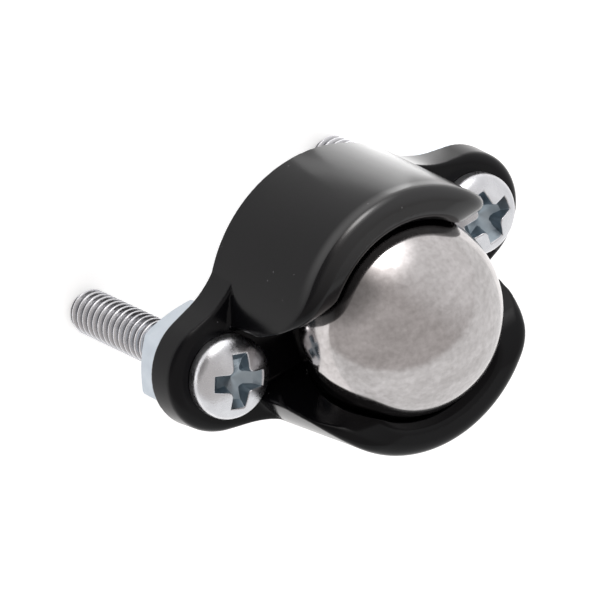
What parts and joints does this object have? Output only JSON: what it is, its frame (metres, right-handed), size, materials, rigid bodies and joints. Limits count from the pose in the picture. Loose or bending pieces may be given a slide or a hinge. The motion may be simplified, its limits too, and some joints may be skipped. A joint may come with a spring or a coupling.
{
  "type": "ball caster",
  "caption": "Small ball transfer unit: a polished steel ball held between the two arms of a black moulded housing, with a screw and nut in each ear.",
  "frame": {"origin": "centre of the flat mounting face under the housing", "axes": "+Z out of the mounting face past the ball, X through the two screws, Y across the arms"},
  "size_m": [0.0202, 0.0132, 0.0205],
  "materials": {
    "housing_plastic": "semi-gloss black moulded ABS",
    "ball_steel": "ground and polished bearing steel",
    "zinc_steel": "bright zinc plated, cold headed",
    "zinc_nut": "bright zinc plated, slightly blue"
  },
  "bodies": {
    "base": {"housing": "housing_plastic", "screw_right": "zinc_steel", "screw_left": "zinc_steel", "nut_right": "zinc_nut", "nut_left": "zinc_nut"},
    "ball": {"ball": "ball_steel"}
  },
  "joints": [
    {"name": "ball_roll", "type": "hinge", "parent": "base", "child": "ball", "pos_m": [0, 0, 0.0054], "axis": [1, 0, 0], "continuous": true}
  ]
}
